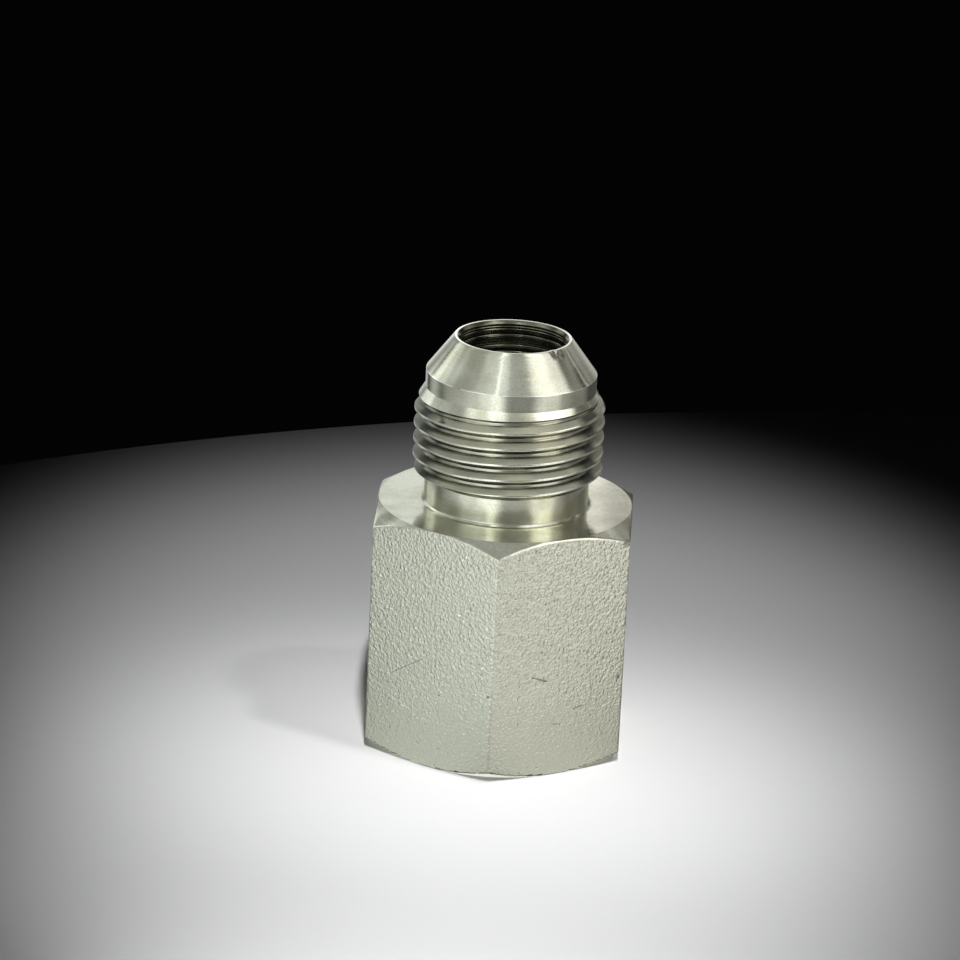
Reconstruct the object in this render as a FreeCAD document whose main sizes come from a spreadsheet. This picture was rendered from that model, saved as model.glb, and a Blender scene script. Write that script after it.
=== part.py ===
import FreeCAD, Part
import math
import os
import Sketcher

# Straight hydraulic adapter: a 37 degree flare nose with an outside thread over a hexagon with a
# threaded port in its base. It is turned from one hexagon bar, so it is one solid.
# Millimetres. The origin is the centre of the base face and +Z runs up the axis to the nose.
SIZES = {
    # hexagon
    "across_flats": 25.4,
    "hexagon_height": 24.7,
    "face_inset": 0.05,
    "corner_chamfer_angle": 31.0,
    # nose, counted up from the hexagon's upper face
    "nose_length": 17.0,
    "relief_diameter": 16.45,
    "relief_length": 2.76,
    "relief_fillet": 0.4,
    "shoulder_angle": 30.0,
    # flare seat and the land under it
    "land_diameter": 16.9,
    "land_length": 1.65,
    "seat_angle": 37.0,
    "rim_diameter": 11.6,
    # outside thread, 3/4-16 UNF
    "thread_diameter": 18.9,
    "thread_root_diameter": 17.2,
    "thread_pitch": 1.5875,
    "thread_flank_angle": 30.0,
    "thread_start": 1.63,
    "lead_in_angle": 30.0,
    # passage
    "bore_diameter": 10.5,
    "rim_chamfer": 0.3,
    # port in the base, drilled for a G 3/8 thread
    "port_diameter": 14.95,
    "port_depth": 15.0,
    "port_mouth_diameter": 17.2,
    "drill_point_angle": 59.0,
}
HEX_SIDES = 6
# How far the tool that turns the corner chamfers runs out past the corners
TOOL_OVERRUN = "1"

doc = FreeCAD.newDocument("hydraulic_adapter")
sizes = doc.addObject("Spreadsheet::Sheet", "sizes")
for row, (alias, value) in enumerate(SIZES.items(), start=1):
    sizes.set("A%d" % row, alias)
    sizes.set("B%d" % row, str(value))
    sizes.setAlias("B%d" % row, alias)
doc.recompute()

# Lengths worked out from the sizes, as expressions
HEX_TOP = "sizes.hexagon_height"
HEX_CORNER = "(sizes.across_flats / 2 / cos(30))"
FACE_RADIUS = "(sizes.across_flats / 2 - sizes.face_inset)"
CHAMFER_REACH = "(%s + %s)" % (HEX_CORNER, TOOL_OVERRUN)
CHAMFER_DROP = "((%s - %s) * tan(sizes.corner_chamfer_angle))" % (CHAMFER_REACH, FACE_RADIUS)

RELIEF_RADIUS = "(sizes.relief_diameter / 2)"
RELIEF_TOP = "(%s + sizes.relief_length)" % HEX_TOP
THREAD_RADIUS = "(sizes.thread_diameter / 2)"
SHOULDER_RISE = "((%s - %s) * tan(sizes.shoulder_angle))" % (THREAD_RADIUS, RELIEF_RADIUS)
LAND_RADIUS = "(sizes.land_diameter / 2)"
RIM_RADIUS = "(sizes.rim_diameter / 2)"
RIM_HEIGHT = "(%s + sizes.nose_length)" % HEX_TOP
SEAT_BASE = "(%s - (%s - %s) / tan(sizes.seat_angle))" % (RIM_HEIGHT, LAND_RADIUS, RIM_RADIUS)
LAND_BASE = "(%s - sizes.land_length)" % SEAT_BASE
LEAD_IN_BASE = "(%s - (%s - %s) / tan(sizes.lead_in_angle))" % (LAND_BASE, THREAD_RADIUS, LAND_RADIUS)

BORE_RADIUS = "(sizes.bore_diameter / 2)"
PORT_RADIUS = "(sizes.port_diameter / 2)"
PORT_MOUTH_RADIUS = "(sizes.port_mouth_diameter / 2)"
DRILL_POINT = "((%s - %s) / tan(sizes.drill_point_angle))" % (PORT_RADIUS, BORE_RADIUS)

# The thread's groove. The crest left between two turns is an eighth of the pitch wide.
ROOT_RADIUS = "(sizes.thread_root_diameter / 2)"
FLANK_SLOPE = "tan(sizes.thread_flank_angle)"
GROOVE_HALF = "(sizes.thread_pitch * 7 / 16)"
GROOVE_ROOT_HALF = "(%s - (%s - %s) * %s)" % (GROOVE_HALF, THREAD_RADIUS, ROOT_RADIUS, FLANK_SLOPE)
# The cutter stands a quarter of the pitch out of the thread, where its flanks are wider
CUTTER_OUT = "(sizes.thread_pitch / 4)"
CUTTER_HALF = "(%s + %s * %s)" % (GROOVE_HALF, CUTTER_OUT, FLANK_SLOPE)
CUTTER_RADIUS = "(%s + %s)" % (THREAD_RADIUS, CUTTER_OUT)
GROOVE_CENTRE = "(%s + sizes.thread_start)" % HEX_TOP


def origin_feature(body, role):
    for feature in body.Origin.OriginFeatures:
        if feature.Role == role:
            return feature
    raise LookupError(role)


def add_sketch(body, name, plane):
    sketch = body.newObject("Sketcher::SketchObject", name)
    sketch.AttachmentSupport = [(origin_feature(body, plane), "")]
    sketch.MapMode = "FlatFace"
    return sketch


def place_corner(sketch, line, end, name, across, up):
    """Ties one end of a line to its distances from the sketch's two axes."""
    for kind, axis, expression in (("DistanceX", -2, across), ("DistanceY", -1, up)):
        if expression == "0":
            sketch.addConstraint(Sketcher.Constraint("PointOnObject", line, end, axis))
            continue
        value = float(sketch.evalExpression(expression))
        index = sketch.addConstraint(Sketcher.Constraint(kind, -1, 1, line, end, value))
        label = "%s_%s" % (name, kind[-1].lower())
        sketch.renameConstraint(index, label)
        sketch.setExpression("Constraints." + label, expression)


def add_outline(sketch, corners, fillet_end=None):
    """Draws a closed outline of lines through named corners, each with its distance from the axis
    and its height. The edge that ends at fillet_end is a hollow quarter round, tangent to the
    line that follows it."""
    points = []
    for name, across, up in corners:
        x = float(sketch.evalExpression(across))
        y = float(sketch.evalExpression(up))
        points.append(FreeCAD.Vector(x, y, 0))
    count = len(corners)
    for number in range(count):
        following = (number + 1) % count
        start, end = points[number], points[following]
        edge = Part.LineSegment(start, end)
        if corners[following][0] == fillet_end:
            centre = FreeCAD.Vector(start.x, end.y, 0)
            ring = Part.Circle(centre, FreeCAD.Vector(0, 0, 1), start.x - end.x)
            edge = Part.ArcOfCircle(ring, -math.pi, -math.pi / 2)
        sketch.addGeometry(edge, False)
    # An arc runs anticlockwise, so the fillet's edge has its end where a line has its start
    for number in range(count):
        name, across, up = corners[number]
        before = (number - 1) % count
        own_end = 2 if corners[(number + 1) % count][0] == fillet_end else 1
        end_before = 1 if name == fillet_end else 2
        kind = "Tangent" if name == fillet_end else "Coincident"
        sketch.addConstraint(Sketcher.Constraint(kind, before, end_before, number, own_end))
        place_corner(sketch, number, own_end, name, across, up)


def add_feature(body, kind, name, sketch):
    feature = body.newObject(kind, name)
    feature.Profile = sketch
    body.Tip = feature
    return feature


def add_turned(body, kind, name, sketch):
    """Turns a sketch once round the body's axis, to add to it or to cut from it."""
    before = body.Shape.Volume
    feature = add_feature(body, kind, name, sketch)
    feature.ReferenceAxis = (sketch, ["V_Axis"])
    feature.Angle = 360.0
    doc.recompute()
    if abs(body.Shape.Volume - before) < 1e-6:
        raise RuntimeError("%s changes nothing" % name)


def add_hexagon(body):
    """Hexagon bar, with one corner towards -Y."""
    sketch = add_sketch(body, "hexagon_sketch", "XY_Plane")
    radius = float(sketch.evalExpression(HEX_CORNER))
    axis = FreeCAD.Vector(0, 0, 1)
    corners = []
    for number in range(HEX_SIDES):
        turn = FreeCAD.Rotation(axis, 360.0 * number / HEX_SIDES)
        corners.append(turn.multVec(FreeCAD.Vector(0, -radius, 0)))
    for number in range(HEX_SIDES):
        side = Part.LineSegment(corners[number], corners[(number + 1) % HEX_SIDES])
        sketch.addGeometry(side, False)
    circle = sketch.addGeometry(Part.Circle(FreeCAD.Vector(0, 0, 0), axis, radius), True)
    sketch.addConstraint(Sketcher.Constraint("Coincident", circle, 3, -1, 1))
    for number in range(HEX_SIDES):
        following = (number + 1) % HEX_SIDES
        sketch.addConstraint(Sketcher.Constraint("Coincident", number, 2, following, 1))
        sketch.addConstraint(Sketcher.Constraint("PointOnObject", number, 1, circle))
    for number in range(1, HEX_SIDES):
        sketch.addConstraint(Sketcher.Constraint("Equal", 0, number))
    sketch.addConstraint(Sketcher.Constraint("PointOnObject", 0, 1, -2))
    index = sketch.addConstraint(Sketcher.Constraint("Radius", circle, radius))
    sketch.renameConstraint(index, "corner_radius")
    sketch.setExpression("Constraints.corner_radius", HEX_CORNER)
    bar = add_feature(body, "PartDesign::Pad", "hexagon_bar", sketch)
    bar.setExpression("Length", HEX_TOP)
    doc.recompute()


def add_corner_chamfers(body):
    """Cones turned on the hexagon's corners, at its upper and its lower face."""
    sketch = add_sketch(body, "upper_chamfer_sketch", "XZ_Plane")
    add_outline(sketch, [
        ("face_edge", FACE_RADIUS, HEX_TOP),
        ("tool_top", CHAMFER_REACH, HEX_TOP),
        ("tool_tip", CHAMFER_REACH, "%s - %s" % (HEX_TOP, CHAMFER_DROP)),
    ])
    add_turned(body, "PartDesign::Groove", "upper_chamfer", sketch)
    sketch = add_sketch(body, "lower_chamfer_sketch", "XZ_Plane")
    add_outline(sketch, [
        ("face_edge", FACE_RADIUS, "0"),
        ("tool_tip", CHAMFER_REACH, CHAMFER_DROP),
        ("tool_base", CHAMFER_REACH, "0"),
    ])
    add_turned(body, "PartDesign::Groove", "lower_chamfer", sketch)


def add_nose(body):
    """Relief with its fillet, thread blank with its lead-in, land, flare seat and rim."""
    sketch = add_sketch(body, "nose_sketch", "XZ_Plane")
    add_outline(sketch, [
        ("axis_foot", "0", HEX_TOP),
        ("fillet_foot", "%s + sizes.relief_fillet" % RELIEF_RADIUS, HEX_TOP),
        ("fillet_top", RELIEF_RADIUS, "%s + sizes.relief_fillet" % HEX_TOP),
        ("relief_top", RELIEF_RADIUS, RELIEF_TOP),
        ("shoulder_edge", THREAD_RADIUS, "%s + %s" % (RELIEF_TOP, SHOULDER_RISE)),
        ("lead_in_base", THREAD_RADIUS, LEAD_IN_BASE),
        ("land_base", LAND_RADIUS, LAND_BASE),
        ("seat_base", LAND_RADIUS, SEAT_BASE),
        ("rim_edge", RIM_RADIUS, RIM_HEIGHT),
        ("axis_rim", "0", RIM_HEIGHT),
    ], fillet_end="fillet_top")
    add_turned(body, "PartDesign::Revolution", "nose", sketch)


def add_passage(body):
    """Port drilled and countersunk from the base, its drill point, and the bore to the rim."""
    sketch = add_sketch(body, "passage_sketch", "XZ_Plane")
    add_outline(sketch, [
        ("axis_base", "0", "0"),
        ("mouth_edge", PORT_MOUTH_RADIUS, "0"),
        ("mouth_top", PORT_RADIUS, "%s - %s" % (PORT_MOUTH_RADIUS, PORT_RADIUS)),
        ("port_end", PORT_RADIUS, "sizes.port_depth"),
        ("bore_base", BORE_RADIUS, "sizes.port_depth + %s" % DRILL_POINT),
        ("bore_top", BORE_RADIUS, "%s - sizes.rim_chamfer" % RIM_HEIGHT),
        ("rim_inner_edge", "%s + sizes.rim_chamfer" % BORE_RADIUS, RIM_HEIGHT),
        ("axis_top", "0", RIM_HEIGHT),
    ])
    add_turned(body, "PartDesign::Groove", "passage", sketch)


def add_thread(body):
    """Right-hand groove wound up from the relief and out past the lead-in, so that the thread
    starts in the relief and fades out on the lead-in as a cut thread does."""
    sketch = add_sketch(body, "thread_sketch", "XZ_Plane")
    add_outline(sketch, [
        ("root_low", ROOT_RADIUS, "%s - %s" % (GROOVE_CENTRE, GROOVE_ROOT_HALF)),
        ("cutter_low", CUTTER_RADIUS, "%s - %s" % (GROOVE_CENTRE, CUTTER_HALF)),
        ("cutter_high", CUTTER_RADIUS, "%s + %s" % (GROOVE_CENTRE, CUTTER_HALF)),
        ("root_high", ROOT_RADIUS, "%s + %s" % (GROOVE_CENTRE, GROOVE_ROOT_HALF)),
    ])
    thread = add_feature(body, "PartDesign::SubtractiveHelix", "thread", sketch)
    thread.ReferenceAxis = (sketch, ["V_Axis"])
    thread.Mode = "pitch-height-angle"
    thread.LeftHanded = False
    thread.setExpression("Pitch", "sizes.thread_pitch")
    thread.setExpression("Height", "%s + sizes.thread_pitch / 2 - %s" % (LAND_BASE, GROOVE_CENTRE))
    doc.recompute()


adapter = doc.addObject("PartDesign::Body", "adapter_body")
adapter.Label = "adapter_body"
add_hexagon(adapter)
add_corner_chamfers(adapter)
add_nose(adapter)
add_passage(adapter)
add_thread(adapter)

for item in doc.Objects:
    if "Invalid" in item.State or "Error" in item.State:
        raise RuntimeError("%s failed: %s" % (item.Name, item.State))
    if item.TypeId == "Sketcher::SketchObject" and not item.FullyConstrained:
        raise RuntimeError("%s is not fully constrained" % item.Name)
shape = adapter.Shape
if shape.isNull() or not shape.isValid() or len(shape.Solids) != 1:
    raise RuntimeError("%s is not one valid solid" % adapter.Label)
os.makedirs("parts", exist_ok=True)
shape.exportStep("parts/%s.step" % adapter.Label)
print(adapter.Label, "volume", round(shape.Volume, 3))
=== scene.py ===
from math import atan2, cos, hypot, pi, radians, sin, tan
from random import Random

import bpy
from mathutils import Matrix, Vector, noise


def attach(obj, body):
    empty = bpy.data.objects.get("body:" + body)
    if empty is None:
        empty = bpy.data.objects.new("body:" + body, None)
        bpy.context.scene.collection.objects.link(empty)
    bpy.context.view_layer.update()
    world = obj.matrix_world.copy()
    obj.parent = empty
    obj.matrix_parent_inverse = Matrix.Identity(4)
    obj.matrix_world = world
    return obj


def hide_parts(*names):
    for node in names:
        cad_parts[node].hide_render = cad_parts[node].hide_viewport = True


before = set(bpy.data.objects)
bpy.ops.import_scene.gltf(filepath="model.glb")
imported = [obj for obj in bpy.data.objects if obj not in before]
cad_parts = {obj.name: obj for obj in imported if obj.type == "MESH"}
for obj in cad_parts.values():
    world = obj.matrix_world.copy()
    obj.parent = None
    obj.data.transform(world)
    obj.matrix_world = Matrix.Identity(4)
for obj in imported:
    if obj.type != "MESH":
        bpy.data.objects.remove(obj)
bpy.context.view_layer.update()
print("stage: frame loaded")

mm = 0.001


def makeActive(piece):
    if bpy.context.mode != "OBJECT":
        bpy.ops.object.mode_set(mode="OBJECT")
    bpy.ops.object.select_all(action="DESELECT")
    bpy.context.view_layer.objects.active = piece
    piece.select_set(True)


def applyModifier(piece, kind, name, **settings):
    makeActive(piece)
    modifier = piece.modifiers.new(name, kind)
    for key, value in settings.items():
        setattr(modifier, key, value)
    bpy.ops.object.modifier_apply(modifier=name)


# a closed line through points of radius and height
def lineObject(name, points):
    mesh = bpy.data.meshes.new(name)
    edges = [(i, (i + 1) % len(points)) for i in range(len(points))]
    mesh.from_pydata([(r, 0, z) for r, z in points], edges, [])
    piece = bpy.data.objects.new(name, mesh)
    bpy.context.scene.collection.objects.link(piece)
    makeActive(piece)
    return piece


# rounds the corners of an outline: each is a radius, a height and its own rounding
def roundedOutline(corners, steps=3):
    outline = []
    count = len(corners)
    for i, (r, z, rounding) in enumerate(corners):
        if rounding == 0:
            outline.append((r, z))
            continue
        here = Vector((r, z))
        before = (Vector(corners[i - 1][:2]) - here).normalized()
        after = (Vector(corners[(i + 1) % count][:2]) - here).normalized()
        half = before.angle(after) / 2
        centre = here + (before + after).normalized() * (rounding / sin(half))
        start = here + before * (rounding / tan(half)) - centre
        end = here + after * (rounding / tan(half)) - centre
        turn = start.angle_signed(end)
        for step in range(steps + 1):
            angle = -turn * step / steps
            point = centre + Vector((start.x * cos(angle) - start.y * sin(angle),
                                     start.x * sin(angle) + start.y * cos(angle)))
            outline.append((point.x, point.y))
    return outline


# the adapter, in millimetres and degrees until it is scaled
body = {
    "turns": 240,            # steps round the axis
    "acrossFlats": 25.4,
    "hexHeight": 24.7,
    "faceRadius": 12.65,     # where the corner chamfers start
    "chamferAngle": 31,
    "toolRadius": 15.2,      # how far out the blank is turned
    "reliefRadius": 8.225,
    "reliefTop": 27.46,
    "reliefFillet": 0.4,
    "threadRadius": 9.45,
    "shoulderAngle": 30,
    "leadInAngle": 30,
    "landRadius": 8.45,
    "landBase": 36.53,
    "seatBase": 38.18,
    "rimRadius": 5.8,
    "rimHeight": 41.7,
    "boreRadius": 5.25,
    "rimChamfer": 0.3,
    "portRadius": 7.475,
    "portDepth": 15.0,
    "mouthRadius": 8.6,
    "drillPoint": 59,        # half of the drill's point angle
    "edgeRound": 0.05,       # rounding of the plain edges
    "seatRound": 0.03,       # between the seat and the land
    "shoulderRound": 0.08,   # under the thread
    "portRound": 0.1,        # at the port's full depth
    "seatStep": 0.35,        # between the rows on the seat
    "landStep": 0.3,
    "mergeWithin": 0.0005,
    "smoothAngle": 28,       # faces that meet at less are shaded smooth
}
drillRidges = {              # in the upper bore, uneven, as a worn drill leaves them
    "count": 22,
    "start": 0.25,           # below the rim's chamfer
    "spacing": 0.2,
    "depth": 0.03,
    "depthShare": (0.1, 1.9),     # least and most, as shares of the depth and the spacing
    "slopeShare": (0.1, 0.35),
    "gapShare": (0.3, 1.25),
}
hexagon = {
    "gather": 0.78,          # how far the steps round the axis gather at the corners
    "edgeWear": 0.2,         # rounding where the turned chamfer meets a flat
    "cornerWear": 0.16,      # rounding of the upright corners
    "wearChange": 0.5,       # share by which the wear changes along an edge
    "wearLength": 1.3,       # from one worn place to the next
    "sideStep": 0.45,        # between the rows on the flats
    "chamferStep": 0.08,
    "baseStep": 0.25,        # the lower chamfers need fewer rows
}
thread = {
    "pitch": 1.5875,
    "rootRadius": 8.6,
    "flank": 30,
    "start": 26.24,
    "turns": 7,
    "rootRound": 0.2,
    "crestRound": 0.06,
    "crestLift": 0.004,      # how far past the crest the crest's rounding ends
    "runOut": 0.07,          # how much wider the cutter is there
}
tap = {
    "pitch": 1.337,
    "rootRadius": 8.33,
    "flank": 27.5,
    "start": -0.9,
    "turns": 10,
    "steps": 120,
    "rootRound": 0.12,
}
cutterReach = 0.35           # how far the cutters stand out of the wall that they cut

leadIn = (body["threadRadius"] - body["landRadius"]) / tan(radians(body["leadInAngle"]))
shoulder = (body["threadRadius"] - body["reliefRadius"]) * tan(radians(body["shoulderAngle"]))
drop = (body["toolRadius"] - body["faceRadius"]) * tan(radians(body["chamferAngle"]))
drillCone = (body["portRadius"] - body["boreRadius"]) / tan(radians(body["drillPoint"]))


# the points between two corners, so that the wall gets rows of faces
def rows(start, end, step):
    count = max(1, round((Vector(end) - Vector(start)).length / step))
    return [(*Vector(start).lerp(Vector(end), i / count), 0) for i in range(1, count)]


edgeRound = body["edgeRound"]
rim = (body["boreRadius"] + body["rimChamfer"], body["rimHeight"])
seatTop = (body["rimRadius"], body["rimHeight"])
seatFoot = (body["landRadius"], body["seatBase"])
landFoot = (body["landRadius"], body["landBase"])
faceEdge = (body["faceRadius"], body["hexHeight"])
sideTop = (body["toolRadius"], body["hexHeight"] - drop)
sideFoot = (body["toolRadius"], drop)
baseEdge = (body["faceRadius"], 0)
corners = [
    (*rim, edgeRound),
    (*seatTop, edgeRound),
    *rows(seatTop, seatFoot, body["seatStep"]),
    (*seatFoot, body["seatRound"]),
    *rows(seatFoot, landFoot, body["landStep"]),
    (*landFoot, edgeRound),
    (body["threadRadius"], body["landBase"] - leadIn, edgeRound),
    (body["threadRadius"], body["reliefTop"] + shoulder, edgeRound),
    (body["reliefRadius"], body["reliefTop"], body["shoulderRound"]),
    (body["reliefRadius"], body["hexHeight"], body["reliefFillet"]),
    (*faceEdge, edgeRound),
    *rows(faceEdge, sideTop, hexagon["chamferStep"]),
    (*sideTop, 0),
    *rows(sideTop, sideFoot, hexagon["sideStep"]),
    (*sideFoot, 0),
    *rows(sideFoot, baseEdge, hexagon["baseStep"]),
    (*baseEdge, edgeRound),
    (body["mouthRadius"], 0, edgeRound),
    (body["portRadius"], body["mouthRadius"] - body["portRadius"], edgeRound),
    (body["portRadius"], body["portDepth"], body["portRound"]),
    (body["boreRadius"], body["portDepth"] + drillCone, edgeRound),
]
wallTop = body["rimHeight"] - body["rimChamfer"]
ridges = []
uneven = Random(5)
ridge = wallTop - drillRidges["start"]
for i in range(drillRidges["count"]):
    depth = drillRidges["depth"] * uneven.uniform(*drillRidges["depthShare"])
    ridges.append((body["boreRadius"] + depth, ridge, 0))
    ridge -= drillRidges["spacing"] * uneven.uniform(*drillRidges["slopeShare"])
    ridges.append((body["boreRadius"], ridge, 0))
    ridge -= drillRidges["spacing"] * uneven.uniform(*drillRidges["gapShare"])
corners.extend(reversed(ridges))
corners.append((body["boreRadius"], wallTop, edgeRound))

blank = lineObject("adapter", roundedOutline(corners))
bpy.ops.object.mode_set(mode="EDIT")
bpy.ops.mesh.select_all(action="SELECT")
bpy.ops.mesh.spin(steps=body["turns"], angle=2 * pi, center=(0, 0, 0), axis=(0, 0, 1))
bpy.ops.mesh.select_all(action="SELECT")
bpy.ops.mesh.remove_doubles(threshold=body["mergeWithin"])
bpy.ops.mesh.normals_make_consistent(inside=False)
bpy.ops.object.mode_set(mode="OBJECT")
print("stage: blank turned", len(blank.data.polygons))


# the smaller of two radii, with the corner between them rounded
def softMin(one, other, wear):
    overlap = max(wear - abs(one - other), 0) / wear
    return min(one, other) - overlap * overlap * wear / 4


def wearAt(point, amount):
    spot = point / hexagon["wearLength"]
    change = noise.noise(spot) + 0.5 * noise.noise(spot * 3.1)
    return amount * (1 + hexagon["wearChange"] * change)


# presses the bar's six flats into the turned blank, below its upper face and outside the port; a corner
# points to -Y
half = body["acrossFlats"] / 2
for vertex in blank.data.vertices:
    radius, azimuth = hypot(vertex.co.x, vertex.co.y), atan2(vertex.co.y, vertex.co.x)
    if vertex.co.z > body["hexHeight"] + 0.01 or radius < body["faceRadius"] - 0.3:
        continue
    azimuth += hexagon["gather"] * sin(6 * azimuth) / 6
    place = Vector((cos(azimuth), sin(azimuth), 0)) * radius + Vector((0, 0, vertex.co.z))
    sides = sorted(half / max(cos(azimuth - i * pi / 3), 0.05) for i in range(6))
    side = softMin(sides[0], sides[1], wearAt(place, hexagon["cornerWear"]))
    radius = softMin(side, radius, wearAt(place, hexagon["edgeWear"]))
    vertex.co.x, vertex.co.y = radius * cos(azimuth), radius * sin(azimuth)
print("stage: hexagon pressed")


# winds the cutter's outline up the axis and cuts it out of the blank
def cutGroove(name, outline, pitch, turns, steps):
    cutter = lineObject(name, outline)
    applyModifier(cutter, "SCREW", "wind", axis="Z", angle=2 * pi, screw_offset=pitch, iterations=turns,
                  steps=steps, render_steps=steps, use_merge_vertices=False)
    makeActive(cutter)
    bpy.ops.object.mode_set(mode="EDIT")
    bpy.ops.mesh.select_all(action="DESELECT")
    bpy.ops.mesh.select_non_manifold()
    bpy.ops.mesh.edge_face_add()
    bpy.ops.mesh.select_all(action="SELECT")
    bpy.ops.mesh.normals_make_consistent(inside=False)
    bpy.ops.object.mode_set(mode="OBJECT")
    applyModifier(blank, "BOOLEAN", name, object=cutter, operation="DIFFERENCE", solver="EXACT")
    bpy.data.objects.remove(cutter)
    print("stage:", name, "cut", len(blank.data.polygons))


slope = tan(radians(thread["flank"]))
grooveHalf = thread["pitch"] * 7 / 16
rootHalf = grooveHalf - (body["threadRadius"] - thread["rootRadius"]) * slope
centre = thread["start"]
crest = body["threadRadius"] + thread["crestLift"]
flare = grooveHalf + thread["runOut"]
threadOutline = [
    (thread["rootRadius"], centre - rootHalf, thread["rootRound"]),
    (crest, centre - grooveHalf, thread["crestRound"]),
    (crest, centre - flare, 0),
    (crest + cutterReach, centre - flare, 0),
    (crest + cutterReach, centre + flare, 0),
    (crest, centre + flare, 0),
    (crest, centre + grooveHalf, thread["crestRound"]),
    (thread["rootRadius"], centre + rootHalf, thread["rootRound"]),
]
cutGroove("thread", roundedOutline(threadOutline, 4), thread["pitch"], thread["turns"], body["turns"])

slope = tan(radians(tap["flank"]))
grooveHalf = tap["pitch"] * 7 / 16
rootHalf = grooveHalf - (tap["rootRadius"] - body["portRadius"]) * slope
centre = tap["start"]
tapOutline = [
    (body["portRadius"] - cutterReach, centre - grooveHalf - cutterReach * slope, 0),
    (tap["rootRadius"], centre - rootHalf, tap["rootRound"]),
    (tap["rootRadius"], centre + rootHalf, tap["rootRound"]),
    (body["portRadius"] - cutterReach, centre + grooveHalf + cutterReach * slope, 0),
]
cutGroove("tap", roundedOutline(tapOutline), tap["pitch"], tap["turns"], tap["steps"])

# knocks that the adapter has had: where, how wide and how deep, in millimetres
dents = {
    "threadNick": ((-6.4, -6.6, 34.9), 0.5, 0.22),
    "rimDent": ((4.1, -4.15, 41.65), 0.5, 0.12),
    "rimScuff": ((4.75, -3.7, 41.2), 0.45, 0.08),
    "cornerChip": ((12.55, -7.4, 23.35), 0.5, 0.15),
    "cornerDent": ((-0.1, -14.6, 9.2), 0.45, 0.1),
    "edgeDent": ((12.4, -7.5, 9.4), 0.45, 0.1),
}
for vertex in blank.data.vertices:
    for spot, width, depth in dents.values():
        distance = (vertex.co - Vector(spot)).length
        if distance < width:
            radius = hypot(vertex.co.x, vertex.co.y)
            shrink = 1 - depth * (1 - (distance / width) ** 2) / radius
            vertex.co.x, vertex.co.y = vertex.co.x * shrink, vertex.co.y * shrink

blank.scale = (mm, mm, mm)
makeActive(blank)
bpy.ops.object.transform_apply(location=True, rotation=True, scale=True)
bpy.ops.object.shade_smooth_by_angle(angle=radians(body["smoothAngle"]))
applyModifier(blank, "WEIGHTED_NORMAL", "even", mode="FACE_AREA", weight=90, keep_sharp=True)
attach(blank, "root")
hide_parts("adapter_body")
print("stage: adapter finished")


# materials
def toLinear(hexColour):
    channels = []
    for start in (0, 2, 4):
        value = int(hexColour[start:start + 2], 16) / 255
        channels.append(value / 12.92 if value <= 0.04045 else ((value + 0.055) / 1.055) ** 2.4)
    return (*channels, 1.0)


# adds a node: kind may carry its operation, settings are its properties, and inputs its sockets
# by name or as i0, i1 and so on, each a value or another node's output
def addNode(tree, kind, settings=None, **inputs):
    node = tree.nodes.new("ShaderNode" + kind.split()[0])
    if " " in kind:
        node.operation = kind.split()[1]
    for key, value in (settings or {}).items():
        setattr(node, key, value)
    for key, value in inputs.items():
        socket = node.inputs[int(key[1:]) if key[1:].isdigit() else key.replace("_", " ")]
        if isinstance(value, bpy.types.NodeSocket):
            tree.links.new(value, socket)
        else:
            socket.default_value = value
    return node.outputs


def newMaterial(name):
    material = bpy.data.materials.new(name)
    material.use_nodes = True
    material.node_tree.nodes.clear()
    return material, material.node_tree


# fine scratches and scuffs, painted shade in the nick and the dents, and a painted highlight on the burr: from, to,
# half width, all in millimetres, and their colour
turnedMarks = {
    # painted shade in the thread's nick
    "nickShade": ((-6.54, -5.9, 35.0), (-6.26, -6.85, 34.68), 0.26, "060604"),
    "nickShadeLow": ((-6.6, -6.5, 34.6), (-6.0, -7.0, 34.55), 0.16, "10100C"),
    "rimScuff": ((4.04, -4.23, 41.64), (4.64, -4.06, 41.0), 0.09, "FFFFF4"),
    "rimScuffRight": ((4.5, -3.9, 41.5), (5.2, -3.8, 40.7), 0.08, "5C5C52"),
    "coneScratch": ((6.25, -3.38, 39.97), (7.12, -3.98, 38.57), 0.07, "55523F"),
    # a real burr, with its glint painted as a highlight
    "burrGlint": ((1.7, -8.28, 38.2), (2.75, -7.99, 38.2), 0.07, "FFFFF8"),
    "burrLeft": ((-5.5, -6.42, 38.18), (-4.7, -7.02, 38.18), 0.05, "5A5A4C"),
}
flatMarks = {
    "longScratch": ((-10.14, -8.81, 8.98), (-7.14, -10.54, 11.24), 0.06, "A3A596"),
    "scratch": ((3.81, -12.46, 10.7), (5.19, -11.67, 10.16), 0.09, "55564E"),
    "scratchTail": ((4.5, -12.07, 10.3), (5.3, -11.6, 10.05), 0.06, "6B6C62"),
    "dash": ((7.97, -10.06, 6.71), (8.84, -9.56, 6.99), 0.08, "5C5D54"),
    "dashLow": ((6.0, -11.2, 5.45), (6.78, -10.75, 5.32), 0.05, "7A7B70"),
    # painted shade in the dents at the corner, at the edge and in the chip
    "cornerDentShade": ((-0.34, -14.35, 9.25), (-0.34, -14.35, 9.15), 0.2, "45463E"),
    "edgeDentShade": ((12.23, -7.5, 9.45), (12.23, -7.5, 9.35), 0.2, "4A4B42"),
    "chipShade": ((12.53, -7.43, 23.5), (12.53, -7.43, 23.1), 0.16, "35362F"),
}


markSpread = 1.3             # how far past its half width a mark fades out
markShare = 0.75             # how much it covers


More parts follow.
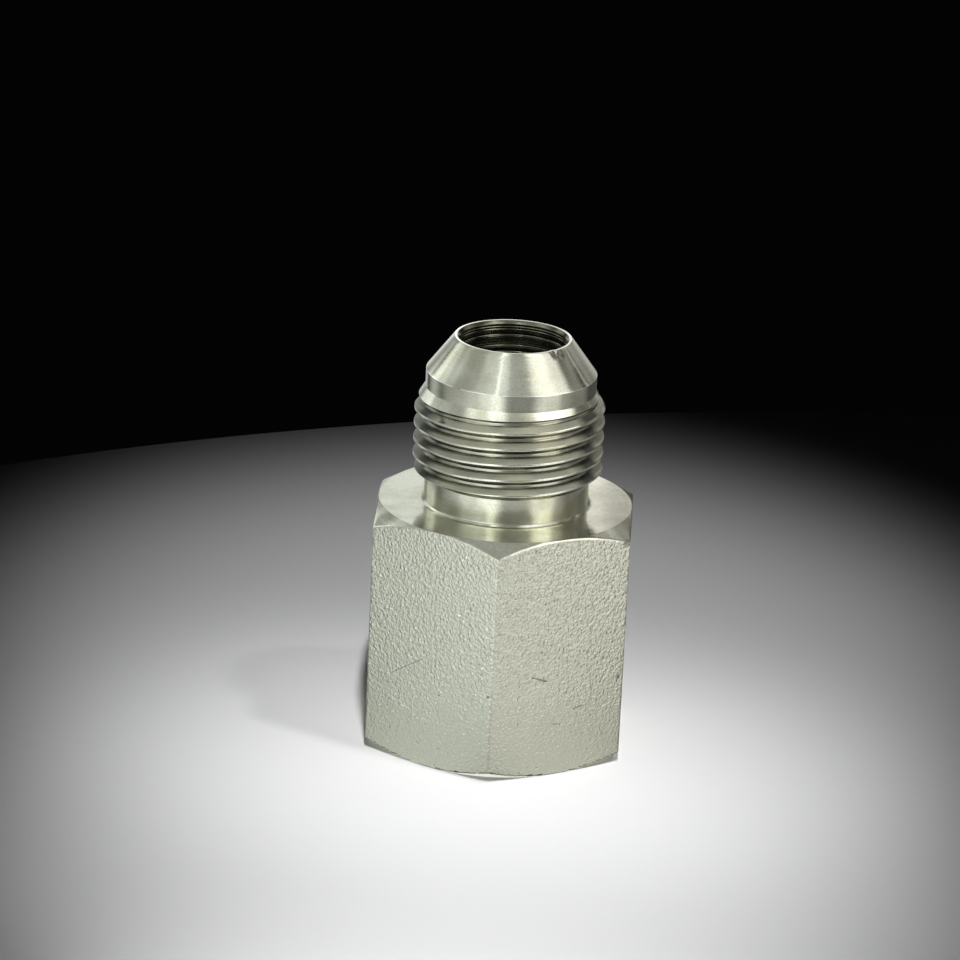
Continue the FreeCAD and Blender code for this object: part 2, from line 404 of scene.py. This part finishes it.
# lays the marks over a colour; place is in millimetres
def markedColour(tree, place, colour, marks):
    for start, end, width, markColour in marks.values():
        start, end = Vector(start), Vector(end)
        along = end - start
        away = addNode(tree, "VectorMath SUBTRACT", i0=place, i1=start)[0]
        dot = addNode(tree, "VectorMath DOT_PRODUCT", i0=away, i1=along / along.length_squared)[1]
        share = addNode(tree, "Clamp", Value=dot)[0]
        reach = addNode(tree, "VectorMath SCALE", i0=along, Scale=share)[0]
        gap = addNode(tree, "VectorMath DISTANCE", i0=away, i1=reach)[1]
        mask = addNode(tree, "MapRange", {"interpolation_type": "SMOOTHSTEP"}, Value=gap, i1=0.0,
                       i2=width * markSpread, i3=markShare, i4=0.0)[0]
        colour = addNode(tree, "Mix", {"data_type": "RGBA"}, i0=mask, i6=colour, i7=toLinear(markColour))[2]
    return colour


# free-cutting steel, turned and then zinc plated. The tool leaves fine rings round the axis, which draw
# each reflection out along the axis into bright streaks with frayed edges
turned = {
    "tarnish": "BFBDA6",     # olive patches of the plating
    "tarnishShare": 0.8,
    "tarnishFrom": (0.42, 0.7),       # the noise at which the patches start and are full
    "patch": 3.0,            # mm
    "anisotropy": 0.85,
    "ringSpacing": 0.13,     # mm, coarser than the real feed so that it shows
    "ringWander": (14.0, 9.0, 0.0),   # slow change across the axis, so the rings aren't perfect circles
    "ringLean": 0.05,        # sideways lean of the rings, which frays the reflections' edges
    "roughRings": 0.08,      # how much rougher the dull rings are
    "dullFrom": (0.5, 0.75),          # the rings' noise at which they start and are dullest
    "speck": 0.18,           # mm, where the plating is thin
    "speckColour": "9E9E8C",
    "speckShare": 0.22,
    "speckFrom": (0.42, 0.66),
    # a painted highlight along the seat's lower edge
    "edgeGlintColour": "FFFFFC",
    "edgeGlint": (0.02, 0.07),       # mm from the seat's lower edge, bright and plain
    "edgeGlintFrom": (0.42, 0.5),
    "sideShade": "1C211C",         # painted shade on the thread's upper flanks at both sides of the front
    "sideShadeShare": 0.9,
    "sideShadeFrom": (47, 58),     # degrees from the front, where it starts and is full
    "sideShadeTo": (66, 74),       # where it thins out
    "sideShadeThins": 0.75,
    "sideShadeWander": 14.0,       # degrees, unevenness of its edges
}
plates = {
    # cut by the turning tool: bright with fine rings
    "turnedPlate": {"colour": "DEDFD0", "roughness": 0.15, "ringDepth": 0.0009},
    # cut by the drill, with deeper lines: dark, with sharp glints
    "boredPlate": {"colour": "5C5D50", "roughness": 0.16, "ringDepth": 0.01},
    # the thread's upper flanks, torn a little by the threading tool: dull and grey, with painted shade at both sides of
    # the front
    "flankPlate": {"colour": "9FA090", "roughness": 0.4, "ringDepth": 0.002, "anisotropy": 0.0, "metallic": 0.45,
                   "shadedSides": True},
    # painted shade in the thread's corners and under its crests, and a thin dark line of it at the lower chamfers'
    # outer edges: dark and smooth
    "paintedShadePlate": {"colour": "4A4A40", "roughness": 0.2, "ringDepth": 0.0005},
    # rubbed by nuts and handling: the brightest, nearly without rings
    "rubbedPlate": {"colour": "EFEFE2", "roughness": 0.13, "ringDepth": 0.0005},
    # the thread's root, turned smooth and a little stained: grey-green mirror
    "stainedPlate": {"colour": "B4B5A6", "roughness": 0.1, "ringDepth": 0.0005},
}


def turnedPlate(name, plate):
    material, tree = newMaterial(name)
    place = addNode(tree, "TexCoord")["Object"]
    inMillimetres = addNode(tree, "VectorMath SCALE", i0=place, Scale=1000.0)[0]
    xyz = addNode(tree, "SeparateXYZ", i0=inMillimetres)
    flat = addNode(tree, "CombineXYZ", i0=xyz[0], i1=xyz[1])[0]
    radius = addNode(tree, "VectorMath LENGTH", i0=flat)[1]
    wander = addNode(tree, "VectorMath DOT_PRODUCT", i0=place, i1=turned["ringWander"])[1]
    along = addNode(tree, "CombineXYZ", i0=radius, i1=wander, i2=xyz[2])[0]
    rings = addNode(tree, "TexNoise", Vector=along, Scale=1 / turned["ringSpacing"], Detail=2.0, Roughness=0.6)[0]
    bump = addNode(tree, "Bump", Height=rings, Strength=1.0, Distance=plate["ringDepth"] * mm)[0]
    tangent = addNode(tree, "Tangent", {"direction_type": "RADIAL", "axis": "Z"})[0]
    evenRings = addNode(tree, "Math SUBTRACT", i0=rings, i1=0.5)[0]
    lean = addNode(tree, "Math MULTIPLY", i0=evenRings, i1=turned["ringLean"])[0]
    sideways = addNode(tree, "VectorMath SCALE", i0=tangent, Scale=lean)[0]
    leaning = addNode(tree, "VectorMath ADD", i0=bump, i1=sideways)[0]
    normal = addNode(tree, "VectorMath NORMALIZE", i0=leaning)[0]

    patches = addNode(tree, "TexNoise", Vector=inMillimetres, Scale=1 / turned["patch"], Detail=3.0)[0]
    start, full = turned["tarnishFrom"]
    tarnished = addNode(tree, "MapRange", Value=patches, i1=start, i2=full, i3=0.0, i4=turned["tarnishShare"])[0]
    colour = addNode(tree, "Mix", {"data_type": "RGBA"}, i0=tarnished, i6=toLinear(plate["colour"]),
                     i7=toLinear(turned["tarnish"]))[2]
    specks = addNode(tree, "TexNoise", Vector=inMillimetres, Scale=1 / turned["speck"], Detail=2.0)[0]
    start, full = turned["speckFrom"]
    specks = addNode(tree, "MapRange", Value=specks, i1=start, i2=full, i3=0.0, i4=turned["speckShare"])[0]
    colour = addNode(tree, "Mix", {"data_type": "RGBA"}, i0=specks, i6=colour, i7=toLinear(turned["speckColour"]))[2]
    # painted highlight: the seat's lower edge is made bright in places, as glints
    fromEdge = addNode(tree, "Math SUBTRACT", i0=xyz[2], i1=body["seatBase"])[0]
    fromEdge = addNode(tree, "Math ABSOLUTE", i0=fromEdge)[0]
    bright, plain = turned["edgeGlint"]
    edge = addNode(tree, "MapRange", Value=fromEdge, i1=bright, i2=plain, i3=1.0, i4=0.0)[0]
    start, full = turned["edgeGlintFrom"]
    inPlaces = addNode(tree, "MapRange", Value=patches, i1=start, i2=full, i3=0.0, i4=1.0)[0]
    edge = addNode(tree, "Math MULTIPLY", i0=edge, i1=inPlaces)[0]
    colour = addNode(tree, "Mix", {"data_type": "RGBA"}, i0=edge, i6=colour, i7=toLinear(turned["edgeGlintColour"]))[2]
    # painted shade: the upper flanks darken with their angle from the front, at both sides of it, with ragged edges
    if plate.get("shadedSides"):
        front = addNode(tree, "Math MULTIPLY", i0=xyz[1], i1=-1.0)[0]
        side = addNode(tree, "Math ARCTAN2", i0=xyz[0], i1=front)[0]
        side = addNode(tree, "Math DEGREES", i0=addNode(tree, "Math ABSOLUTE", i0=side)[0])[0]
        ragged = addNode(tree, "Math SUBTRACT", i0=patches, i1=0.5)[0]
        side = addNode(tree, "Math MULTIPLY_ADD", i0=ragged, i1=turned["sideShadeWander"], i2=side)[0]
        start, full = turned["sideShadeFrom"]
        sideShade = addNode(tree, "MapRange", Value=side, i1=start, i2=full, i3=0.0, i4=turned["sideShadeShare"])[0]
        start, full = turned["sideShadeTo"]
        thin = addNode(tree, "MapRange", Value=side, i1=start, i2=full, i3=0.0, i4=turned["sideShadeThins"])[0]
        sideShade = addNode(tree, "Math SUBTRACT", i0=sideShade, i1=thin)[0]
        colour = addNode(tree, "Mix", {"data_type": "RGBA"}, i0=sideShade, i6=colour, i7=toLinear(turned["sideShade"]))[2]
    colour = markedColour(tree, inMillimetres, colour, turnedMarks)

    start, full = turned["dullFrom"]
    dull = addNode(tree, "MapRange", Value=rings, i1=start, i2=full, i3=plate["roughness"],
                   i4=plate["roughness"] + turned["roughRings"])[0]
    shader = addNode(tree, "BsdfPrincipled", Base_Color=colour, Metallic=plate.get("metallic", 1.0), Roughness=dull,
                     Anisotropic=plate.get("anisotropy", turned["anisotropy"]), Anisotropic_Rotation=0.25,
                     Normal=normal, Tangent=tangent)[0]
    addNode(tree, "OutputMaterial", Surface=shader)
    return material


# the bar's own surface, rough drawn and then plated: matt with a fine pebble grain, painted shade in its pits
# and painted glints on the pebbles' tips
flats = {
    "colour": "D9DACB",
    "pitShadeColour": "8C8E7E",   # painted shade in the pits
    "pitShadeTo": (0.22, 0.32),  # the noise at which the pits are deepest and end
    "glintColour": "FFFFF6",   # painted glints on the pebbles' tips
    "glintsFrom": (0.66, 0.72),
    "glintsAbove": 4.5,        # mm, and only at the left of the front
    "worn": "C3C4B0",        # darker towards the bottom
    "grain": 0.31,           # mm from one pebble to the next
    "grainDepth": 0.085,     # mm
    "roughness": 0.2,
    "smoothBelow": 7.5,      # mm, the grain is worn smoother near the base
    "smoothSoft": 4,         # mm over which that fades
    "smoothWander": 12.0,    # mm, unevenness of its edge
    "wornGrain": 0.7,        # share of the grain that is left there
    "wornPatch": 4.55,       # mm, how wide the worn places are
}


def platedFlats(name):
    material, tree = newMaterial(name)
    place = addNode(tree, "TexCoord")["Object"]
    inMillimetres = addNode(tree, "VectorMath SCALE", i0=place, Scale=1000.0)[0]
    xyz = addNode(tree, "SeparateXYZ", i0=inMillimetres)
    pebbles = addNode(tree, "TexNoise", Vector=inMillimetres, Scale=1 / flats["grain"], Detail=2.0, Roughness=0.6)[0]
    wide = addNode(tree, "TexNoise", Vector=inMillimetres, Scale=1 / flats["wornPatch"], Detail=2.0)[0]
    wide = addNode(tree, "Math SUBTRACT", i0=wide, i1=0.5)[0]
    height = addNode(tree, "Math MULTIPLY_ADD", i0=wide, i1=flats["smoothWander"], i2=xyz[2])[0]
    low, high = flats["smoothBelow"] - flats["smoothSoft"], flats["smoothBelow"] + flats["smoothSoft"]
    worn = addNode(tree, "MapRange", {"interpolation_type": "SMOOTHSTEP"}, Value=height, i1=low, i2=high,
                   i3=flats["wornGrain"], i4=1.0)[0]
    relief = addNode(tree, "Math MULTIPLY", i0=pebbles, i1=worn)[0]
    bump = addNode(tree, "Bump", Height=relief, Strength=1.0, Distance=flats["grainDepth"] * 2 * mm)[0]

    colour = addNode(tree, "Mix", {"data_type": "RGBA"}, i0=worn, i6=toLinear(flats["worn"]),
                     i7=toLinear(flats["colour"]))[2]
    # painted shade in the pits
    low, high = flats["pitShadeTo"]
    outOfPitShade = addNode(tree, "MapRange", Value=pebbles, i1=low, i2=high, i3=0.0, i4=1.0)[0]
    colour = addNode(tree, "Mix", {"data_type": "RGBA"}, i0=outOfPitShade, i6=toLinear(flats["pitShadeColour"]), i7=colour)[2]
    # painted glints on the pebbles' tips, at the left of the front only
    low, high = flats["glintsFrom"]
    glints = addNode(tree, "MapRange", Value=pebbles, i1=low, i2=high, i3=0.0, i4=1.0)[0]
    atLeft = addNode(tree, "Math LESS_THAN", i0=xyz[0], i1=0.0)[0]
    above = addNode(tree, "Math GREATER_THAN", i0=xyz[2], i1=flats["glintsAbove"])[0]
    glints = addNode(tree, "Math MULTIPLY", i0=glints, i1=addNode(tree, "Math MULTIPLY", i0=atLeft, i1=above)[0])[0]
    colour = addNode(tree, "Mix", {"data_type": "RGBA"}, i0=glints, i6=colour, i7=toLinear(flats["glintColour"]))[2]
    colour = markedColour(tree, inMillimetres, colour, flatMarks)
    shader = addNode(tree, "BsdfPrincipled", Base_Color=colour, Metallic=1.0, Roughness=flats["roughness"],
                     Normal=bump)[0]
    addNode(tree, "OutputMaterial", Surface=shader)
    return material


finishes = [turnedPlate(name, plate) for name, plate in plates.items()] + [platedFlats("platedFlats")]
blank.data.materials.clear()
for finish in finishes:
    blank.data.materials.append(finish)
finishNumber = {finish.name: i for i, finish in enumerate(finishes)}

# where the finishes change, in millimetres; a facing is the upward part of a face's normal
zones = {
    "threadFrom": 0.2,       # above the relief
    "threadTo": 0.6,         # below the land
    "threadInside": 8.5,     # radius that the thread's faces lie outside
    "rootOutside": 8.7,      # radius that its root lies inside
    "rootFacing": (-0.05, 0.3),   # of the part of the root without painted shade
    "underFacing": -0.3,     # of the lower flanks
    "flankFacing": 0.7,      # of the upper flanks
    "crestInside": 9.3,      # radius that its crests lie outside
    "baseTo": 4,             # height of the lower chamfers
    "baseEdge": 0.1,         # inside their inner edge
    "baseFacing": (-0.95, -0.15),     # what faces further down is the base
    "baseRubbed": -0.7,      # the chamfers face further down, their outer edges, with painted shade, less
    "flatsInside": 12.4,     # radius that the flats lie outside
    "flatsBelow": 0.03,      # under the hexagon's upper face
    "grainFacing": 0.55,     # how far the grain follows a worn edge round
    "rubbedFacing": 0.3,     # and how far at the front right
    "boreRidges": 0.28,      # how far the bore's faces may lie outside its radius
    "boreFrom": 14,          # above the port's wall
}
for face in blank.data.polygons:
    middle, facing = face.center / mm, face.normal.z
    radius, azimuth = hypot(middle.x, middle.y), atan2(face.normal.y, face.normal.x)
    rootLow, rootHigh = zones["rootFacing"]
    baseLow, baseHigh = zones["baseFacing"]
    # the thread: painted shade in its corners and under its crests, nuts have rubbed the crests bright
    finish = "turnedPlate"
    if (radius > zones["threadInside"]
            and body["reliefTop"] + zones["threadFrom"] < middle.z < body["landBase"] - zones["threadTo"]):
        atRoot = radius < zones["rootOutside"]
        if facing < zones["underFacing"] or atRoot and not rootLow < facing < rootHigh:
            finish = "paintedShadePlate"
        elif atRoot:
            finish = "stainedPlate"
        elif facing > zones["flankFacing"]:
            finish = "flankPlate"
        elif radius > zones["crestInside"] and middle.z < body["landBase"] - leadIn:
            finish = "rubbedPlate"
    # the grain runs over the worn edges, except on the flat at the front right, where they are rubbed bright
    grainTo = zones["rubbedFacing"] if -pi / 2 < azimuth < -pi / 6 else zones["grainFacing"]
    # the lower chamfers, with a thin line of painted shade at their outer edges
    if (middle.z < zones["baseTo"] and radius > body["faceRadius"] - zones["baseEdge"]
            and baseLow < facing < baseHigh):
        finish = "rubbedPlate" if facing < zones["baseRubbed"] else "paintedShadePlate"
    elif radius > zones["flatsInside"] and middle.z < body["hexHeight"] - zones["flatsBelow"] and abs(facing) < grainTo:
        finish = "platedFlats"
    elif radius < body["boreRadius"] + zones["boreRidges"] and middle.z > zones["boreFrom"]:
        finish = "boredPlate"
    face.material_index = finishNumber[finish]
print("stage: materials")

# floor: a round white table top, whose far edge shows behind the adapter
table = {
    "radius": 225,           # mm
    "centre": (67, -112),
    "thickness": 20,
    "colour": "E7E7E8",
    "roughness": 0.6,
}
bpy.ops.mesh.primitive_cylinder_add(vertices=256, radius=table["radius"] * mm, depth=table["thickness"] * mm,
                                    location=(table["centre"][0] * mm, table["centre"][1] * mm,
                                              -table["thickness"] / 2 * mm))
floor = bpy.context.object
floor.name = "tableTop"
bpy.ops.object.transform_apply(location=True, rotation=True, scale=True)
# white laminate, pressed smooth and matt: even white without a gleam
laminate, tree = newMaterial("whiteLaminate")
shader = addNode(tree, "BsdfPrincipled", Base_Color=toLinear(table["colour"]), Roughness=table["roughness"],
                 Specular_IOR_Level=0.0)[0]
addNode(tree, "OutputMaterial", Surface=shader)
floor.data.materials.append(laminate)
floor.visible_glossy = False

# camera
camera = {
    "place": (10.747, -378.922, 157.430),    # mm
    "target": (-2.628, -0.093, 26.602),
    "roll": 2.694,           # degrees
    "lens": 150.93,
    "sensor": 36,
}
view = bpy.data.objects.new("camera", bpy.data.cameras.new("camera"))
bpy.context.scene.collection.objects.link(view)
view.data.lens = camera["lens"]
view.data.sensor_width = camera["sensor"]
view.data.clip_start = 0.01
view.location = Vector(camera["place"]) * mm
look = (Vector(camera["target"]) - Vector(camera["place"])).to_track_quat("-Z", "Y")
view.rotation_euler = look.to_euler()
view.rotation_euler.rotate_axis("Z", radians(camera["roll"]))
bpy.context.scene.camera = view

# light tent round the adapter, which only its bright metal sees
tent = {
    "radius": 50,            # mm
    "height": 160,
    "sunk": 1,               # how far its foot is below the table top
    "lidLight": 0.42,
    "softEdge": 3,           # mm, between two rings
    "cool": (0.96, 1.0, 0.98, 1.0),   # linear tints of its light
    "warm": (1.0, 0.985, 0.95, 1.0),
    "warmFrom": 20,          # degrees to the right, where the warm side starts
    "warmSoft": 60,
}
# rings of soft panels on the tent's wall, bottom and top in mm; a panel is its left and right edge and how soft
# they are, in degrees from the front, + is right, and its brightness, where less than 0 takes light away; one
# from -400 to 400 goes all round
rings = [
    {   # middle of the ground: seen through the bore
        "bottom": -80, "top": -42,
        "panels": [(-400, 400, 1, 0.05), (2, 12, 2, 1.5)],
    },
    {   # ground at the adapter's foot: seen in the hexagon's lower chamfers
        "bottom": -43, "top": -37.5,
        "panels": [(-400, 400, 1, 1.1), (-170, -70, 10, 1.4), (70, 170, 10, 1.4)],
    },
    {   # ground and foot ring: seen in the hexagon's flats
        "bottom": -37, "top": 11,
        "panels": [
            (-400, 400, 1, 0.2), (-68, 66, 20, 0.5), (-16, 16, 8, -0.18), (120, 240, 10, 0.5), (-240, -120, 10, 0.5),
        ],
    },
    {   # light from above on the flats' grain
        "bottom": 2, "top": 12,
        "panels": [(-72, 70, 20, 0.45)],
    },
    {   # extra low light on the crests
        "bottom": 14, "top": 19,
        "panels": [(34, 68, 6, 1.2), (-60, -8, 5, 0.5), (-30, -10, 4, 0.4), (84, 112, 5, -0.15), (-118, -72, 6, -0.2)],
    },
    {   # more light in the lead-in, most at its right
        "bottom": 51, "top": 68,
        "panels": [(-56, -2, 8, 0.6), (-26, -4, 8, 0.4), (24, 80, 14, 1.05), (-4, 110, 5, 0.25), (-112, -80, 6, 0.2)],
    },
    {   # the cone's left edge, and a thin streak in its right edge
        "bottom": 46, "top": 61,
        "panels": [(-123, -111, 3, 1.0), (117, 121, 1.5, 0.6)],
    },
    {   # the hexagon's upper chamfers
        "bottom": 61, "top": 82,
        "panels": [(-142, -110, 6, 0.35), (110, 142, 6, 0.35)],
    },
    {   # high up: seen in the fillet and by the bore's ridges
        "bottom": 112, "top": 200,
        "panels": [(34, 92, 6, 0.9)],
    },
    {   # straight up: the streak in the bore
        "bottom": 130, "top": 200,
        "panels": [(-28, -12, 3, 3.0)],
    },
    {   # bright spot at the right of the hexagon's face
        "bottom": 30, "top": 50,
        "panels": [(168.9, 171.6, 0.6, 0.8)],
    },
    {   # low ring: seen in the land and the thread's crests
        "bottom": 11, "top": 30,
        "panels": [
            (-400, 400, 1, 0.08), (-132, 118, 5, 0.12), (-126, -104, 8, 0.3), (-90, -4, 10, 0.33),
            (-54, -5, 8, 0.25), (-36, -5, 5, 0.3), (-24, -5, 4, 0.2), (-4, 110, 5, 0.08),
            (32, 66, 7, 0.4), (64, 84, 8, 0.1), (-170, -143, 4, 0.5),
        ],
    },
    {   # middle ring: seen in the relief and the hexagon's face
        "bottom": 30, "top": 48,
        "panels": [
            (-400, 400, 1, 0.4), (-134, -108, 5, 0.65), (-60, -10, 8, 0.27), (-38, -10, 5, 0.2),
            (-21, -11, 2, 0.7), (-4, 28, 5, -0.1), (38, 66, 5, 1.15), (62, 76, 6, 0.1),
            (84, 140, 8, -0.2), (84, 112, 6, 0.1), (44, 62, 5, 0.3), (-200, -150, 8, 0.5), (150, 200, 8, 0.12),
        ],
    },
    {   # upper ring: seen in the cone and the lead-in
        "bottom": 48, "top": 68,
        "panels": [
            (-400, 400, 1, 0.04), (-122, 90, 3, 0.42), (-112, -100, 5, 0.3), (-26, -3, 5, 0.4),
            (-54, -3, 6, 0.5), (36, 88, 7, 0.72), (46, 70, 6, 0.25), (-172, -151, 3, 0.7),
            (-144, -126, 4, 0.34), (124, 144, 4, 0.34), (166, 200, 4, 1.2), (-200, -166, 4, 1.2),
        ],
    },
    {   # top ring: seen in the front of the cone
        "bottom": 68, "top": 200,
        "panels": [
            (-400, 400, 1, 0.12), (-98, -88, 4, 0.25), (-110, 92, 4, 0.36), (-180, -130, 8, 0.3),
            (-54, -2, 6, 0.3), (-28, -3, 5, 0.08), (-22, -19, 1, 1.2), (36, 90, 5, 0.6), (44, 70, 8, 0.5),
        ],
    },
]
bpy.ops.mesh.primitive_cylinder_add(vertices=128, radius=tent["radius"] * mm, depth=tent["height"] * mm,
                                    location=(0, 0, (tent["height"] / 2 - tent["sunk"]) * mm))
booth = bpy.context.object
booth.name = "lightTent"
bpy.ops.object.transform_apply(location=True, rotation=True, scale=True)
for ray in ("camera", "diffuse", "shadow", "transmission", "volume_scatter"):
    setattr(booth, "visible_" + ray, False)

glow, tree = newMaterial("tentLight")
inMillimetres = addNode(tree, "VectorMath SCALE", i0=addNode(tree, "TexCoord")["Object"], Scale=1000.0)[0]
xyz = addNode(tree, "SeparateXYZ", i0=inMillimetres)
front = addNode(tree, "Math MULTIPLY", i0=xyz[1], i1=-1.0)[0]
azimuth = addNode(tree, "Math DEGREES", i0=addNode(tree, "Math ARCTAN2", i0=xyz[0], i1=front)[0])[0]
# the ground carries on below the wall, so that -10 is a ring on it 10 mm from the wall
flat = addNode(tree, "CombineXYZ", i0=xyz[0], i1=xyz[1])[0]
inward = addNode(tree, "Math SUBTRACT", i0=tent["radius"], i1=addNode(tree, "VectorMath LENGTH", i0=flat)[1])[0]
height = addNode(tree, "Math SUBTRACT", i0=xyz[2], i1=inward)[0]


# 1 between two values and 0 outside them, with soft edges
def softBand(value, low, high, soft):
    rise, fall = (addNode(tree, "MapRange", {"interpolation_type": "SMOOTHSTEP"}, Value=value, i1=edge - soft,
                          i2=edge + soft, i3=0.0, i4=1.0)[0] for edge in (low, high))
    return addNode(tree, "Math SUBTRACT", i0=rise, i1=fall)[0]


total = 0.0
for ring in rings:
    wall = 0.0
    for left, right, soft, brightness in ring["panels"]:
        wall = addNode(tree, "Math MULTIPLY_ADD", i0=softBand(azimuth, left, right, soft), i1=brightness, i2=wall)[0]
    level = softBand(height, ring["bottom"], ring["top"], tent["softEdge"])
    total = addNode(tree, "Math MULTIPLY_ADD", i0=wall, i1=level, i2=total)[0]
lid = addNode(tree, "Math GREATER_THAN", i0=xyz[2], i1=tent["height"] - tent["sunk"] - 1)[0]
notLid = addNode(tree, "Math SUBTRACT", i0=1.0, i1=lid)[0]
lidLight = addNode(tree, "Math MULTIPLY", i0=lid, i1=tent["lidLight"])[0]
strength = addNode(tree, "Math MULTIPLY_ADD", i0=total, i1=notLid, i2=lidLight)[0]
warmSide = softBand(azimuth, tent["warmFrom"], 400, tent["warmSoft"])
tint = addNode(tree, "Mix", {"data_type": "RGBA"}, i0=warmSide, i6=tent["cool"], i7=tent["warm"])[2]
light = addNode(tree, "Emission", Color=tint, Strength=strength)[0]
addNode(tree, "OutputMaterial", Surface=light)
booth.data.materials.append(glow)

# a dark room with lamps for the table
world = bpy.data.worlds.new("studio")
bpy.context.scene.world = world
world.use_nodes = True
world.node_tree.nodes["Background"].inputs["Color"].default_value = (0.001, 0.001, 0.001, 1.0)

# place and target in metres, watts, the lamp's own size, the beam in degrees and how soft its edge is
lamps = {
    "back": ((0.02, -0.25, 0.42), (0, 0.02, 0), 5.1, 0.01, 15.2, 1.0),
    "pool": ((0.02, -0.35, 0.42), (0, -0.035, 0), 5.6, 0.01, 12.2, 0.9),
    "middle": ((0.02, -0.35, 0.42), (0, -0.06, 0), 1.6, 0.01, 10.0, 1.0),
    "near": ((0.02, -0.35, 0.42), (0, -0.09, 0), 2.3, 0.01, 11.0, 1.0),
    "key": ((0.22, -0.14, 0.44), (0.003, -0.03, 0), 7.5, 0.04, 9.0, 1.0),
    "front": ((0, -0.45, 0.4), (-0.003, -0.1, 0), 4.2, 0.01, 9.0, 0.7),
}
for name, (place, target, power, size, beam, soft) in lamps.items():
    lamp = bpy.data.objects.new(name, bpy.data.lights.new(name, "SPOT"))
    bpy.context.scene.collection.objects.link(lamp)
    lamp.data.energy = power
    lamp.data.shadow_soft_size = size
    lamp.data.spot_size = radians(beam)
    lamp.data.spot_blend = soft
    lamp.location = place
    lamp.rotation_euler = (Vector(target) - Vector(place)).to_track_quat("-Z", "Y").to_euler()
    lamp.visible_glossy = False
bpy.context.scene.view_settings.view_transform = "Standard"
print("stage: studio")
